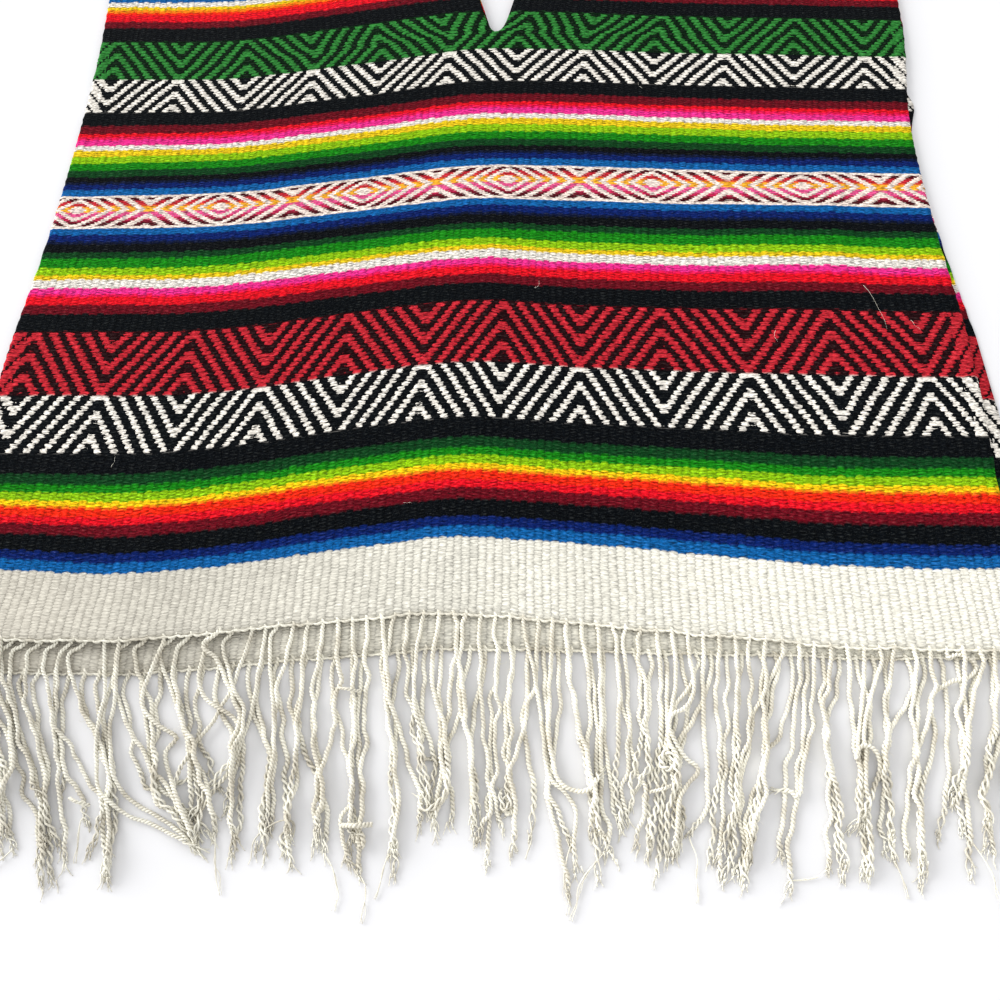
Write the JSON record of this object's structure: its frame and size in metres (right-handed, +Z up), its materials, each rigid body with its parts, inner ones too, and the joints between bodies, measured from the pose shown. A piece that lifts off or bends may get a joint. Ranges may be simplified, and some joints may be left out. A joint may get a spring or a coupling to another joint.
{
  "type": "mexican serape",
  "caption": "Striped woven serape poncho with a neck slit, folded at the shoulder and laid flat, with long cord fringe on the front and back hems.",
  "frame": {"origin": "on the floor under the middle of the laid-out piece, fringe included", "axes": "+X across the cloth to the viewer's right, +Y from the hems to the shoulder fold, +Z up"},
  "size_m": [0.684, 0.8258, 0.0096],
  "materials": {
    "striped_weave": "matte ribbed wool-like weave in bright shaded stripes with twill zigzag bands",
    "cream_cord": "matte twisted natural cord"
  },
  "bodies": {
    "root": {"front_panel": "striped_weave", "back_panel": "striped_weave", "front_fringe": "cream_cord", "back_fringe": "cream_cord"}
  },
  "joints": []
}
